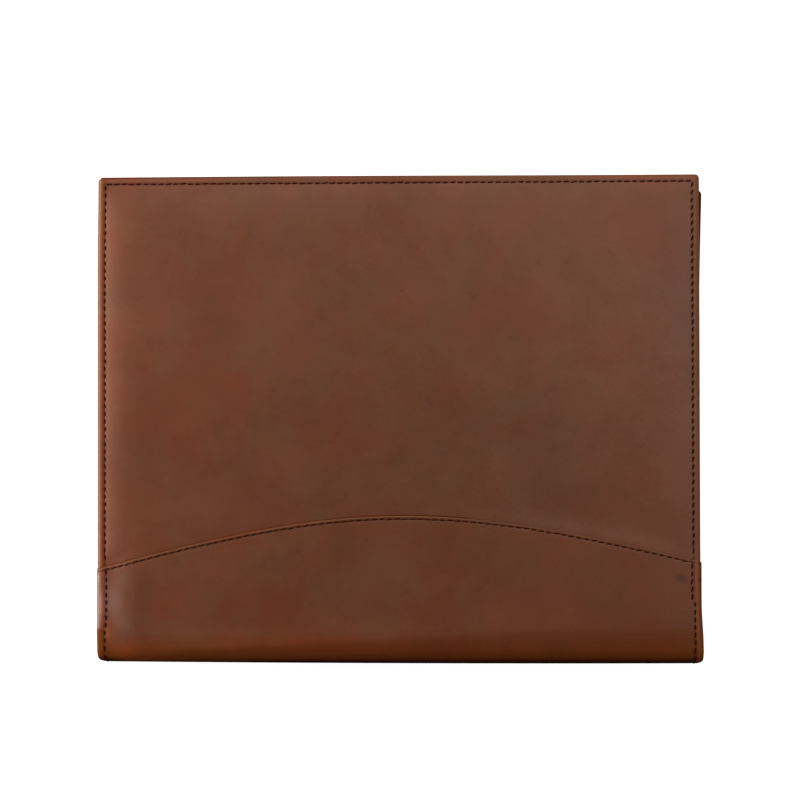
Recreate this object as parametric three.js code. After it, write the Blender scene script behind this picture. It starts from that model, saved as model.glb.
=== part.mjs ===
import * as THREE from 'three';

// A folded leather document folder, lying on its back cover with the fold towards -Y.
// Millimetres: +X along the fold, +Y towards the free edges, +Z up.

// Driving dimensions: outline
const COVER_WIDTH = 317.5; // along the fold
const FOLDED_DEPTH = 258; // from the fold's outer face to the front cover's free edge
const BACK_SHORTFALL = 7.8; // the back cover ends this much short of the front one
const BACK_LEAN = 2.4; // the back cover's free edge lies this much to the right
const CORNER_RADIUS = 1.8; // free corners of the covers
const FOLD_CORNER_RADIUS = 2.6; // rounded ends of the fold, seen from above
const PANEL_OVERHANG = 0.65; // the spine panel wraps this much over each side edge
const LINING_INSET = 0.4; // the lining stops this much inside the covers' edges

// Driving dimensions: the fold, on the lining's outer face
const BEND_RADIUS = 7;
const FRONT_SLOPE = THREE.MathUtils.degToRad(1.5); // the front cover comes down towards its free edge

// Driving dimensions: layers
const CLEARANCE = 0.3; // between neighbouring layers
const LINING_THICKNESS = 1;
const FLANGE_THICKNESS = 1; // a cover where the spine panel lies over it
const COVER_THICKNESS = 1.9; // a cover along its seams
const PANEL_THICKNESS = 1.4;
const FRONT_SWELL = 0.9; // the padded front stands this much above its seams
const BACK_SWELL = 1.6; // the back would too, but the surface under it presses it flat
const SWELL_RUN = 9; // how quickly the padding rises from a seam

// Driving dimensions: the arched seam, by distance from the fold's outer face
const ARCH_PEAK = 78.6; // highest point, mid-width
const ARCH_ROUNDING = 36.75; // larger is a flatter top
const ARCH_SLOPE = 0.326; // fall of the arch's two arms
const ARCH_TILT = 0.0094; // rise towards the right
const HINGE_DISTANCE = 17.7; // the covers start here, under the panel
const RAMP_RUN = 8; // the panel comes down from the covers to the fold over this length

// Section of a turned and stitched border: how far the surface drops at each distance from the edge
const BORDER = [
  { inset: 0, drop: 0.9 },
  { inset: 0.7, drop: 0.25 },
  { inset: 1.8, drop: 0 },
  { inset: 3.2, drop: 0.35 },
  { inset: 5.5, drop: 0 },
];

// Section of the panel's cut edge along the arched seam
const CUT_EDGE = [
  { inset: 0, drop: 0.35 },
  { inset: 0.4, drop: 0 },
  { inset: 1.2, drop: 0.3 },
  { inset: 3, drop: 0 },
];

// Grid rows as shares of the stretch that they divide
const FLANGE_SHARES = [0, 0.5, 1];
const FIELD_SHARES = [0, 0.02, 0.06, 0.13, 0.3, 0.5, 0.7, 0.87, 0.95];
const RAMP_SHARES = [0.25, 0.5, 0.75];
const PANEL_SHARES = [0, 0.35, 0.7];
const LINING_SHARES = [0.2, 0.4, 0.6, 0.8, 1];
const BEND_STEPS = 6; // in each half of the fold
const COVER_COLUMNS = 22; // between the borders
const LINING_COLUMNS = 8;

// The step where a cover's padded field meets the panel's edge
const STEP_FOOT = 0.2;
const STEP_TOP = 0.35;

// Levels of the layers, measured outwards from the lining's outer face
const INNER_LEVEL = CLEARANCE;
const FLANGE_LEVEL = INNER_LEVEL + FLANGE_THICKNESS;
const PANEL_SEAT = FLANGE_LEVEL + CLEARANCE;
const PANEL_LEVEL = PANEL_SEAT + PANEL_THICKNESS;
const COVER_LEVEL = INNER_LEVEL + COVER_THICKNESS;

const BACK_REACH = FOLDED_DEPTH - BACK_SHORTFALL;
const FOLD_OUTER_RADIUS = BEND_RADIUS + INNER_LEVEL + PANEL_THICKNESS;
const BEND_LENGTH = (BEND_RADIUS * Math.PI) / 2; // a quarter turn of the fold
const FOLD_CENTRE = { y: -FOLDED_DEPTH / 2 + FOLD_OUTER_RADIUS, z: PANEL_LEVEL + BEND_RADIUS };

const { clamp, lerp, smoothstep } = THREE.MathUtils;

// Length along the fold line, from its outermost point, at a distance from the fold's outer face.
function lengthAt(distance) {
  return distance - FOLD_OUTER_RADIUS + BEND_LENGTH;
}

const HINGE_LENGTH = lengthAt(HINGE_DISTANCE);
const RAMP_END = HINGE_LENGTH - 2 * CLEARANCE;
const RAMP_START = RAMP_END - RAMP_RUN;

// Length at which the arched seam lies, over a place x along the fold.
function seamAt(x) {
  const fall = Math.hypot(ARCH_ROUNDING, ARCH_SLOPE * x) - ARCH_ROUNDING;
  return lengthAt(ARCH_PEAK - fall + ARCH_TILT * x);
}

// A point at a level above the fold line. Length is positive over the front and negative under the back.
function pointAt(x, length, level) {
  const turn = clamp(length / BEND_RADIUS, -Math.PI / 2, Math.PI / 2 + FRONT_SLOPE);
  const past = length - turn * BEND_RADIUS;
  const radius = BEND_RADIUS + level;
  const y = FOLD_CENTRE.y - radius * Math.cos(turn) + past * Math.sin(turn);
  const z = FOLD_CENTRE.z + radius * Math.sin(turn) + past * Math.cos(turn);
  return [x, y, z];
}

// Drop of a bordered surface at a distance from its edge, read off a section table.
function dropAt(section, inset) {
  for (let i = 1; i < section.length; i += 1) {
    const [near, far] = [section[i - 1], section[i]];
    if (inset < far.inset) {
      const share = clamp((inset - near.inset) / (far.inset - near.inset), 0, 1);
      return lerp(near.drop, far.drop, share);
    }
  }
  return section.at(-1).drop;
}

// Shortfall of a rounded corner, at a distance from the corner's side.
function cornerPull(distance, radius) {
  const into = clamp(radius - distance, 0, radius);
  return radius - Math.sqrt(radius * radius - into * into);
}

// Columns across a piece: the border's insets at both sides, and even shares between them.
// Each column knows its side, so that its place can follow a width that changes along the piece.
function columnsAcross(count) {
  const run = BORDER.at(-1).inset;
  const left = BORDER.map(({ inset }) => ({ side: -1, inset, share: 1 }));
  const middle = [];
  for (let i = 1; i < count; i += 1) {
    const across = (2 * i) / count - 1;
    middle.push({ side: Math.sign(across), inset: run, share: Math.abs(across) });
  }
  const right = left.map((column) => ({ ...column, side: 1 })).reverse();
  return [...left, ...middle, ...right];
}

function columnPlace({ side, inset, share }, halfWidth) {
  return side * share * (halfWidth - inset);
}

// Distance from a column to the nearer side edge.
function sideInset(x, halfWidth) {
  return halfWidth - Math.abs(x);
}

// Closed sheet over a grid of columns, each a list of { x, length, outer, inner } by rising length.
function closedSheet(grid) {
  const columns = grid.length;
  const rows = grid[0].length;
  const half = columns * rows;
  const positions = [];
  for (const face of ['outer', 'inner']) {
    for (const column of grid) {
      for (const node of column) {
        positions.push(...pointAt(node.x, node.length, node[face]));
      }
    }
  }
  const outer = (i, j) => i * rows + j;
  const inner = (i, j) => half + outer(i, j);
  const right = columns - 1;
  const top = rows - 1;
  const indices = [];
  const quad = (a, b, c, d) => indices.push(a, b, c, a, c, d);
  for (let i = 0; i + 1 < columns; i += 1) {
    for (let j = 0; j + 1 < rows; j += 1) {
      quad(outer(i, j), outer(i + 1, j), outer(i + 1, j + 1), outer(i, j + 1));
      quad(inner(i, j), inner(i, j + 1), inner(i + 1, j + 1), inner(i + 1, j));
    }
    quad(inner(i, 0), inner(i + 1, 0), outer(i + 1, 0), outer(i, 0));
    quad(outer(i, top), outer(i + 1, top), inner(i + 1, top), inner(i, top));
  }
  for (let j = 0; j + 1 < rows; j += 1) {
    quad(outer(0, j), outer(0, j + 1), inner(0, j + 1), inner(0, j));
    quad(inner(right, j), inner(right, j + 1), outer(right, j + 1), outer(right, j));
  }
  const geometry = new THREE.BufferGeometry();
  geometry.setAttribute('position', new THREE.Float32BufferAttribute(positions, 3));
  geometry.setIndex(indices);
  geometry.computeVertexNormals();
  return geometry;
}

// A cover turned to the other side of the fold: lengths change sign and run the other way.
function underside(column) {
  return column.map((node) => ({ ...node, length: -node.length })).reverse();
}

// Sideways lean of a cover, growing from its seam to its free edge.
function leanAt(x, length, edge, lean) {
  const seam = seamAt(x);
  return lean * clamp((length - seam) / (edge - seam), 0, 1);
}

// Level of a cover's padded field: it swells away from its borders and its seam, up to a flat limit.
function fieldLevel({ side, end, seam, swell, limit }) {
  const away = (inset) => 1 - Math.exp(-inset / SWELL_RUN);
  const rise = swell * away(side) * away(end) * away(seam);
  const drop = dropAt(BORDER, Math.min(side, end));
  return Math.min(COVER_LEVEL + rise - drop, limit);
}

// One cover: a thin flange under the panel, then a padded field with stitched borders.
function coverColumn(column, { reach, lean, swell, limit }) {
  const halfWidth = COVER_WIDTH / 2;
  const x = columnPlace(column, halfWidth);
  const side = sideInset(x, halfWidth);
  const edge = lengthAt(reach);
  const ownEdge = edge - cornerPull(side, CORNER_RADIUS);
  const seam = seamAt(x);
  const fieldStart = seam + STEP_TOP;
  const borderStart = ownEdge - BORDER.at(-1).inset;
  const node = (length, outer) => {
    const leaning = x + leanAt(x, length, edge, lean);
    return { x: leaning, length, outer, inner: INNER_LEVEL };
  };
  const field = (length) => {
    const insets = { side, end: ownEdge - length, seam: length - fieldStart };
    return node(length, fieldLevel({ ...insets, swell, limit }));
  };
  return [
    ...FLANGE_SHARES.map((share) => node(lerp(HINGE_LENGTH, seam + STEP_FOOT, share), FLANGE_LEVEL)),
    ...FIELD_SHARES.map((share) => field(lerp(fieldStart, borderStart, share))),
    ...BORDER.map(({ inset }) => field(ownEdge - inset)).reverse(),
  ];
}

function frontCover() {
  const shape = { reach: FOLDED_DEPTH, lean: 0, swell: FRONT_SWELL, limit: Infinity };
  return closedSheet(columnsAcross(COVER_COLUMNS).map((column) => coverColumn(column, shape)));
}

function backCover() {
  const shape = { reach: BACK_REACH, lean: BACK_LEAN, swell: BACK_SWELL, limit: PANEL_LEVEL };
  return closedSheet(columnsAcross(COVER_COLUMNS).map((column) => underside(coverColumn(column, shape))));
}

// Half the width of a layer at a length along the fold line: the fold's ends are rounded off.
function roundedHalfWidth(halfWidth, length) {
  const turn = clamp(length / BEND_RADIUS, -Math.PI / 2, Math.PI / 2);
  const distance = FOLD_OUTER_RADIUS * (1 - Math.cos(turn));
  return halfWidth - cornerPull(distance, FOLD_CORNER_RADIUS);
}

// Lengths round one half of the fold, from its outermost point to the start of the straight.
function bendLengths() {
  return Array.from({ length: BEND_STEPS + 1 }, (_, k) => (BEND_LENGTH * k) / BEND_STEPS);
}

// A rising list of lengths that starts at zero, turned under the back: from the back edge up to the fold.
function backwards(lengths) {
  const [, ...rest] = lengths;
  return rest.map((length) => -length).reverse();
}

// The panel follows the fold closely and climbs onto the covers on either side.
function panelColumn(column) {
  const halfWidth = COVER_WIDTH / 2 + PANEL_OVERHANG;
  const edge = seamAt(columnPlace(column, halfWidth));
  const edgeStart = edge - CUT_EDGE.at(-1).inset;
  const lengths = [
    ...bendLengths(),
    ...RAMP_SHARES.map((share) => lerp(BEND_LENGTH, HINGE_LENGTH, share)),
    ...PANEL_SHARES.map((share) => lerp(HINGE_LENGTH, edgeStart, share)),
    ...CUT_EDGE.map(({ inset }) => edge - inset).reverse(),
  ];
  return [...backwards(lengths), ...lengths].map((length) => {
    const ownHalf = roundedHalfWidth(halfWidth, length);
    const x = columnPlace(column, ownHalf);
    const seat = lerp(INNER_LEVEL, PANEL_SEAT, smoothstep(Math.abs(length), RAMP_START, RAMP_END));
    const sideDrop = dropAt(BORDER, sideInset(x, ownHalf));
    const cutDrop = dropAt(CUT_EDGE, edge - Math.abs(length));
    return { x, length, outer: seat + PANEL_THICKNESS - Math.max(sideDrop, cutDrop), inner: seat };
  });
}

function spinePanel() {
  return closedSheet(columnsAcross(COVER_COLUMNS).map(panelColumn));
}

// The lining runs from free edge to free edge, just inside both covers' outlines.
function liningColumn(column) {
  const halfWidth = COVER_WIDTH / 2 - LINING_INSET;
  const straightX = columnPlace(column, halfWidth);
  const pull = cornerPull(sideInset(straightX, halfWidth), CORNER_RADIUS);
  const edgeFor = (reach) => lengthAt(reach) - LINING_INSET - pull;
  const lengthsTo = (edge) => [
    ...bendLengths(),
    ...LINING_SHARES.map((share) => lerp(BEND_LENGTH, edge, share)),
  ];
  const lengths = [...backwards(lengthsTo(edgeFor(BACK_REACH))), ...lengthsTo(edgeFor(FOLDED_DEPTH))];
  return lengths.map((length) => {
    const lean = length < 0 ? leanAt(straightX, -length, lengthAt(BACK_REACH), BACK_LEAN) : 0;
    const x = columnPlace(column, roundedHalfWidth(halfWidth, length)) + lean;
    return { x, length, outer: 0, inner: -LINING_THICKNESS };
  });
}

function lining() {
  return closedSheet(columnsAcross(LINING_COLUMNS).map(liningColumn));
}

function piece(name, geometry, material) {
  const mesh = new THREE.Mesh(geometry, new THREE.MeshStandardMaterial({ metalness: 0, ...material }));
  mesh.name = name;
  return mesh;
}

const folder = new THREE.Group();
folder.name = 'document_folder';
folder.add(
  piece('front_cover', frontCover(), { color: 0x643d2c, roughness: 0.48 }),
  piece('back_cover', backCover(), { color: 0x5f3a29, roughness: 0.5 }),
  piece('spine_panel', spinePanel(), { color: 0x603927, roughness: 0.46 }),
  piece('lining', lining(), { color: 0x141110, roughness: 0.85 }),
);

// The origin lies under the middle of the whole folder, on the surface that it rests on.
const box = new THREE.Box3().setFromObject(folder);
const middle = box.getCenter(new THREE.Vector3());
folder.position.set(-middle.x, -middle.y, -box.min.z);

export default folder;
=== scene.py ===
import math

import bpy
import numpy as np
from mathutils import Matrix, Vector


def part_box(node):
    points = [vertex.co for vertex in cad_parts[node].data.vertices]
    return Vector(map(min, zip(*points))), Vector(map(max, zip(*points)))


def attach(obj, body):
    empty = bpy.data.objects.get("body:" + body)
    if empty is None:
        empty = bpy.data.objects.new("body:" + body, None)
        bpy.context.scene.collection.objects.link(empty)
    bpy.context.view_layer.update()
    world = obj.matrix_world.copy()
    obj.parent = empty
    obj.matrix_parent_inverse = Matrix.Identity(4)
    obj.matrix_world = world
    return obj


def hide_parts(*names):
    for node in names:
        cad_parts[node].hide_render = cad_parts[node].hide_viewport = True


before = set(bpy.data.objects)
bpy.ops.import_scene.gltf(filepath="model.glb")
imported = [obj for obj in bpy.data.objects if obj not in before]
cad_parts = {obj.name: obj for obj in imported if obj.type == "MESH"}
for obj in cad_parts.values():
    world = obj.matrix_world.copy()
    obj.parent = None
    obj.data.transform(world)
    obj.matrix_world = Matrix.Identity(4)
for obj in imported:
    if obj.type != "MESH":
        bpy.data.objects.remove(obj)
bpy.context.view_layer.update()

# Shapes are worked out in millimetres and become metres when a mesh is made.
MM = 0.001
RNG = np.random.default_rng(7)

# Sizes read from the frame
FRONT_LOW, FRONT_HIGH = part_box("front_cover")
_, BACK_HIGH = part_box("back_cover")
PANEL_LOW, PANEL_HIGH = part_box("spine_panel")
HALF_COVER = (FRONT_HIGH.x - FRONT_LOW.x) / MM / 2
HALF_PANEL = (PANEL_HIGH.x - PANEL_LOW.x) / MM / 2
FOLDED_DEPTH = (FRONT_HIGH.y - PANEL_LOW.y) / MM
BACK_REACH = (BACK_HIGH.y - PANEL_LOW.y) / MM
BACK_LEAN = (BACK_HIGH.x - FRONT_HIGH.x) / MM
MIDDLE_X = (FRONT_LOW.x + FRONT_HIGH.x) / 2
FOLD_Y = PANEL_LOW.y

# Sizes that the solids are made from
BEND_RADIUS = 7.0
FRONT_SLOPE = math.radians(1.5)
LINING_INSET = 0.4
LINING_THICKNESS = 1.0
INNER_LEVEL = 0.3
FLANGE_LEVEL = 1.3
COVER_LEVEL = 2.2
PANEL_SEAT = 1.6
PANEL_THICKNESS = 1.4
PANEL_LEVEL = PANEL_SEAT + PANEL_THICKNESS
BACK_SWELL = 1.6
SWELL_RUN = 9.0
ARCH_PEAK = 78.6
ARCH_ROUNDING = 36.75
ARCH_TILT = 0.0094
HINGE_DISTANCE = 17.7
RAMP_RUN = 8.0
RAMP_GAP = 0.6
STEP_FOOT = 0.2
STEP_TOP = 0.35

# Finer shape of the leather
CORNER_RADIUS = 1.8
FOLD_CORNER_RADII = {-1: 2.1, 1: 1.3}  # at the fold's left and right end
FOLD_BOW = 0.25  # the fold stands out this much in its middle and falls back as much at its ends
ARCH_SLOPES = (0.326, 0.316)  # to the left and to the right
EDGE_RADIUS = 2.9
EDGE_DROP = 1.25
EDGE_BULGE = 0.65  # how far the leather rounds out along the left and free edges
RIGHT_BULGE = 0.4  # the right edge's share of this
UNDER_RADIUS = 0.6
UNDER_DROP = 0.3
LINING_TURN = 0.3  # how far the lining's edges are rounded off
CUT_RADIUS = 0.6
CUT_DROP = 0.26
RIPPLE_HEIGHT = 0.06
# At the right the covers swell up to the level of the spine panel's cut edge
STEP_FILL = 0.5
STEP_FILL_RUN = 9.0
STEP_FILL_START = (20.0, 80.0)
STEP_GAP_KEPT = 0.15  # share of the gap beside the cut edge that is left there
FILLED_LOSS = 0.75  # share of the step's painted shade and of the cut edge's paleness, partly painted highlight, that is lost there
# Padding of the front: its height left and right, the share that rises quickly, and how far each rise runs
LEFT_SWELL = 3.0
RIGHT_SWELL = 0.8
QUICK_SHARE = 0.02
QUICK_RUN = 1.5
SLOW_RUN = 7.5
CALM_RUN = 11.0  # under the spine panel it rises more gently
CALM_FADE = 10.0
# The spine panel's left end droops over the cover's edge, fully from the second of these lengths on
DROOP = 0.9
DROOP_WIDTH = 4.8
DROOP_LENGTHS = (19.0, 25.0)
# The front's padding and the panel climb from the fold between two lengths, the second given left and right
CLIMB_START = 2.0
CLIMB_ENDS = (8.0, 27.0)
BACK_SPLAY = 2.2  # the back leans out mostly at its free corner: the power of its lean
LEFT_TUCK = 0.45  # the left edge draws in this much towards the free corner
LEFT_TUCK_RUN = 50.0
FLARE = 1.2  # the panel's right end spreads this much at the fold
FLARE_RUN = (8.0, 36.5)
ROW_FLARE = 0.25  # the share of it that the row of stitches follows

# Wear of the leather: rubbed places shine less, along edges, a left border and the fold with its shoulders
RUBBED_EDGE = 2.4
RUBBED_RIM = 1.3  # at the panel's right end there is no shine at all
RUBBED_BORDER = 5.0
RUBBED_FOLD = 9.2
RUBBED_SHOULDERS = (20.0, 24.0)  # at the left and at the right
RUBBED_END = (6.0, 8.0, 28.0)  # how much longer the left shoulder is near the end, and where that fades
RUBBED_CORNER = (3.0, 21.0)  # at the fold's left end: how far from the end, and how far round from the fold
CLEAN_RIGHT = (0.0, 120.0)  # the wax bloom and painted sheen on the spine panel fade between these places
LEFT_EDGE_HIGHLIGHT = (4.2, 0.2, 0.9)  # painted highlight down the covers' left edge: how strong it is, and where that fades
COVER_RIM = (0.5, 1.2, 1.8, 2.8)  # from the edge: where a rim's wear and painted highlight start, are full, fall off and stop
PANEL_RIM = (0.7, 2.0, 2.9, 3.9)
RIM_LEFT = 0.2  # the share of this wear and painted highlight at the left; it is full at the right
END_RIM = (70.0, 115.0)  # the free edge's rim is worn and given a painted highlight from between these places outwards
END_RIM_WEAR_AND_HIGHLIGHT = 0.75
LIP_WIDTH = (0.2, 0.8)  # the lip of the panel's cut edge ends between these distances
LIP_RISE = (-120.0, -20.0)  # it grows paler between these places, partly as a painted highlight
CUT_SHADE = 0.24  # it also gets painted shade, which fades out between these places
CUT_SHADE_FALL = (0.0, 80.0)
STEP_SHADE = 0.35  # how much painted shade a cover has beside the step up to the panel
STEP_SHADE_WIDTH = (0.4, 1.6)
FOLD_SHADE = (4.6, 8.4)  # painted shade along the fold ends between these lengths
FOLD_SHADE_SHIFT = 0.4  # how much narrower it is at the right

# Stitching
STITCH_PITCH = 4.0
# Length of a stitch, its slant from its row in degrees, and the radius of its thread
SIDE_STITCHES = {-1: (2.7, 2.0, 0.33), 1: (3.0, -17.0, 0.35)}
PANEL_STITCHES = {-1: (2.9, 2.0, 0.36), 1: (3.1, -9.0, 0.37)}
END_STITCHES = (3.85, 6.0, 0.31)
SEAM_STITCHES = (3.7, 9.0, 0.24)
STITCH_WANDER = 0.12  # how far a stitch strays from its row
STITCH_UNEVEN = 0.06  # how much the lengths of stitches differ, as a share
SLANT_WANDER = 3.0  # and their slants, in degrees
ROW_CLEARANCE = 2.0  # the rows along the sides keep this far from the arched seam
SEAM_CLEARANCE = 4.5  # and the seam's own row from its ends
SEAM_HALF_COUNT = 45  # more stitches than fit on half a seam
GROOVE_DEPTH = 0.22
GROOVE_WIDTH = 0.52
GROOVE_WAVE = 0.2  # share of the depth that comes and goes with the stitches
PUCKER_HEIGHT = 0.1
PUCKER_OFFSET = 0.85
PUCKER_WIDTH = 0.55
PUCKER_UNEVEN = 0.4
THREAD_SHADE = 0.45  # share of a row's painted shade that comes and goes with the stitches
ROW_END = (0.3, 1.2)  # a groove fades out between these distances past the end of its row
SEAM_ROW_INSET = 1.5
SEAM_SHADE = 0.5  # how much painted shade the seam's groove has, and the share lost at the right
SEAM_SHADE_LOST = 0.5
SEAM_GROOVE_SPREAD = 1.1  # its width against the other rows' grooves
SIDES = (-1, 1)
# Distance of a cover's rows from its edges: a side's at free edge and fold, the free edge's left and right
COVER_ROW_INSETS = {-1: (3.45, 3.55), 1: (3.65, 3.45)}
END_ROW_INSETS = (3.25, 3.65)
# Distance of the spine panel's rows from its ends: beside the cover, and from a hinge line on, round the fold
PANEL_ROW_INSETS = {-1: (4.9, 3.95), 1: (4.9, 3.5)}
PANEL_ROW_HINGES = {-1: 20.3, 1: 33.0}
PANEL_ROW_BEND = 0.8  # half the length over which the row changes there
PRESSED = 0.3  # threads under the folder are pressed this far into the leather

FOLD_OUTER_RADIUS = BEND_RADIUS + INNER_LEVEL + PANEL_THICKNESS
BEND_LENGTH = BEND_RADIUS * math.pi / 2


def smooth(value, low, high):
    """0 up to the low value and 1 from the high value on, with a soft change between them."""
    share = np.clip((value - low) / (high - low), 0, 1)
    return share * share * (3 - 2 * share)


def across_share(x):
    """Place from the left end to the right end, from 0 to 1."""
    return np.clip((x + HALF_COVER) / (2 * HALF_COVER), 0, 1)


# The fold's surface

def length_at(distance):
    """Length along the fold line, from its outermost point, at a distance from the fold's outer face."""
    return distance - FOLD_OUTER_RADIUS + BEND_LENGTH


FRONT_EDGE = length_at(FOLDED_DEPTH)
BACK_EDGE = length_at(BACK_REACH)
HINGE_LENGTH = length_at(HINGE_DISTANCE)
RAMP_END = HINGE_LENGTH - RAMP_GAP
RAMP_START = RAMP_END - RAMP_RUN


def arch_slope(x):
    left, right = ARCH_SLOPES
    return np.where(x < 0, left, right)


def seam_gap(x):
    """Share of the gap between the spine panel's cut edge and a cover: it closes towards the right."""
    return 1 - (1 - STEP_GAP_KEPT) * smooth(x, *STEP_FILL_START)


def seam_at(x):
    """Length at which the arched seam lies."""
    fall = np.hypot(ARCH_ROUNDING, arch_slope(x) * x) - ARCH_ROUNDING
    return length_at(ARCH_PEAK - fall + ARCH_TILT * x)


def point_at(x, length, level):
    """Points in metres at a level above the fold line; lengths are negative on the back."""
    turn = np.clip(length / BEND_RADIUS, -math.pi / 2, math.pi / 2 + FRONT_SLOPE)
    past = length - turn * BEND_RADIUS
    radius = BEND_RADIUS + level
    seam = seam_at(x)
    lean = BACK_LEAN * np.clip((-length - seam) / (BACK_EDGE - seam), 0, 1) ** BACK_SPLAY
    by_left = smooth(-x, HALF_COVER / 2, HALF_COVER)
    tuck = LEFT_TUCK * by_left * smooth(length, FRONT_EDGE - LEFT_TUCK_RUN, FRONT_EDGE)
    y = FOLD_OUTER_RADIUS - radius * np.cos(turn) + past * np.sin(turn)
    z = PANEL_LEVEL + BEND_RADIUS + radius * np.sin(turn) + past * np.cos(turn)
    return np.stack([MIDDLE_X + (x + lean + tuck) * MM, FOLD_Y + y * MM, z * MM], axis=-1)


def corner_pull(distance, radius):
    """Shortfall of a rounded corner, at a distance from the corner's side."""
    into = np.clip(radius - distance, 0, radius)
    return radius - np.sqrt(radius * radius - into * into)


def rounded_half_width(half_width, length, side):
    """Distance from the middle to a layer's end along the fold line: the fold's ends are rounded off."""
    turn = np.clip(length / BEND_RADIUS, -math.pi / 2, math.pi / 2)
    return half_width - corner_pull(FOLD_OUTER_RADIUS * (1 - np.cos(turn)), FOLD_CORNER_RADII[side])


def end_flare(side, length):
    return FLARE * (1 - smooth(np.abs(length), *FLARE_RUN)) * (side > 0)


def panel_half_width(side, length):
    """Distance from the middle to one of the spine panel's ends."""
    return rounded_half_width(HALF_PANEL, length, side) + end_flare(side, length)


def border_inset(side, end):
    """Distance from the rounded outline, given the distances from a side and from the free edge."""
    in_corner = (side < CORNER_RADIUS) & (end < CORNER_RADIUS)
    from_arc = CORNER_RADIUS - np.hypot(CORNER_RADIUS - side, CORNER_RADIUS - end)
    return np.maximum(np.where(in_corner, from_arc, np.minimum(side, end)), 0)


def roll(inset, radius):
    """A quarter-round edge: 1 at the edge, 0 from the radius inwards."""
    into = np.clip((radius - inset) / radius, 0, 1)
    return 1 - np.sqrt(1 - into * into)


def ripple(x, length):
    """Slow unevenness of the leather."""
    waves = np.sin(x / 23 + 0.4) * np.sin(length / 31 + 1.1)
    waves = waves + 0.7 * np.sin(x / 13 - length / 19 + 2.3)
    waves = waves + 0.5 * np.sin(x / 41 + length / 11 + 0.7)
    return RIPPLE_HEIGHT * waves


# Rows of stitches

def cover_row(side, length, edge):
    """Place x of the row of stitches along a cover's side."""
    free, fold = COVER_ROW_INSETS[side]
    share = np.clip(np.abs(length) / edge, 0, 1)
    return side * (HALF_COVER - (fold + (free - fold) * share))


def panel_row(side, length):
    """Place x of the row of stitches along one of the spine panel's ends."""
    beside, folded = PANEL_ROW_INSETS[side]
    hinge = length_at(PANEL_ROW_HINGES[side])
    change = smooth(np.abs(length), hinge - PANEL_ROW_BEND, hinge + PANEL_ROW_BEND)
    inset = folded + (beside - folded) * change
    end = rounded_half_width(HALF_PANEL, length, side) + ROW_FLARE * end_flare(side, length)
    return side * (end - inset)


def end_row(x, edge):
    """Length of the free edge's row of stitches."""
    left, right = END_ROW_INSETS
    return edge - (left + (right - left) * across_share(x))


def corner_of(side, edge):
    """Where a side's row meets the free edge's row."""
    x = cover_row(side, edge, edge)
    return x, end_row(x, edge)


def end_pitch(edge):
    """Pitch that fits a whole number of stitches between the two corners, and the first corner."""
    left, right = corner_of(-1, edge)[0], corner_of(1, edge)[0]
    return (right - left) / round((right - left) / STITCH_PITCH), left


def seam_run(x):
    """Length along the arched seam from its middle."""
    lean = arch_slope(x)
    slope = lean * lean * x / np.hypot(ARCH_ROUNDING, lean * x)
    return x * (1 + slope * slope / 6)


def near(across):
    """Closeness to a row of stitches: 1 on the row."""
    return np.exp(-((across / GROOVE_WIDTH) ** 2))


def groove(across, along, pitch):
    """Depth of the leather along a row: deepest under each thread, puckered up beside the gaps."""
    wave = np.cos(2 * math.pi * along / pitch)
    dip = GROOVE_DEPTH * near(across) * (1 - GROOVE_WAVE + GROOVE_WAVE * wave)
    beside = np.exp(-(((np.abs(across) - PUCKER_OFFSET) / PUCKER_WIDTH) ** 2))
    uneven = 1 - PUCKER_UNEVEN + PUCKER_UNEVEN * np.sin(along * 0.61) * np.sin(along * 0.23 + 1)
    return dip + PUCKER_HEIGHT * beside * wave * uneven


def side_run(length, edge, side):
    """Length along a side's row from the free edge's row."""
    return corner_of(side, edge)[1] - np.abs(length)


def cover_grooves(x, length, edge, shape):
    """Something shaped along a cover's rows: its sides' rows and its free edge's row end where they meet."""
    ends, gone = ROW_END
    pitch, left = end_pitch(edge)
    right = corner_of(1, edge)[0]
    found = 0
    for side in SIDES:
        run = side_run(length, edge, side)
        within = smooth(run, -gone, -ends)
        across = (x - cover_row(side, length, edge)) * side
        found = np.maximum(found, within * shape(across, run - STITCH_PITCH / 2, STITCH_PITCH))
    within = smooth(x, left - gone, left - ends) * (1 - smooth(x, right + ends, right + gone))
    across = np.abs(length) - end_row(x, edge)
    return np.maximum(found, within * shape(across, x - left - pitch / 2, pitch))


def panel_grooves(x, length, shape):
    """Something shaped along the spine panel's rows: down both ends and under the arched seams."""
    edge = np.where(length > 0, FRONT_EDGE, BACK_EDGE)
    found = shape(seam_at(x) - np.abs(length) - SEAM_ROW_INSET, seam_run(x), STITCH_PITCH)
    for side in SIDES:
        across = (x - panel_row(side, length)) * side
        run = side_run(length, edge, side)
        found = np.maximum(found, shape(across, run - STITCH_PITCH / 2, STITCH_PITCH))
    return found


def closeness(across, along, pitch):
    """Closeness to a row, strongest beside the threads; it sets the painted shade along the rows."""
    return near(across) * (1 - THREAD_SHADE + THREAD_SHADE * np.cos(2 * math.pi * along / pitch))


def seam_shade(x, length):
    """Closeness to the arched seam's row, which gets an even band of painted shade along its groove."""
    across = seam_at(x) - np.abs(length) - SEAM_ROW_INSET
    strength = SEAM_SHADE * (1 - SEAM_SHADE_LOST * smooth(x, *STEP_FILL_START))
    return strength * near(across / SEAM_GROOVE_SPREAD)


def step_shade(x, length):
    """Shade on a cover beside the step up to the spine panel."""
    beside = 1 - smooth(np.abs(length) - seam_at(x), *STEP_SHADE_WIDTH)
    return STEP_SHADE * beside * (1 - FILLED_LOSS * smooth(x, *STEP_FILL_START))


# Levels of the outer faces, above the fold line

def away(inset, run):
    return 1 - np.exp(-np.maximum(inset, 0) / run)


def pillow(inset):
    """Rise of padding from a row of stitches: quick beside it, then slow."""
    return QUICK_SHARE * away(inset, QUICK_RUN) + (1 - QUICK_SHARE) * away(inset, SLOW_RUN)


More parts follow.
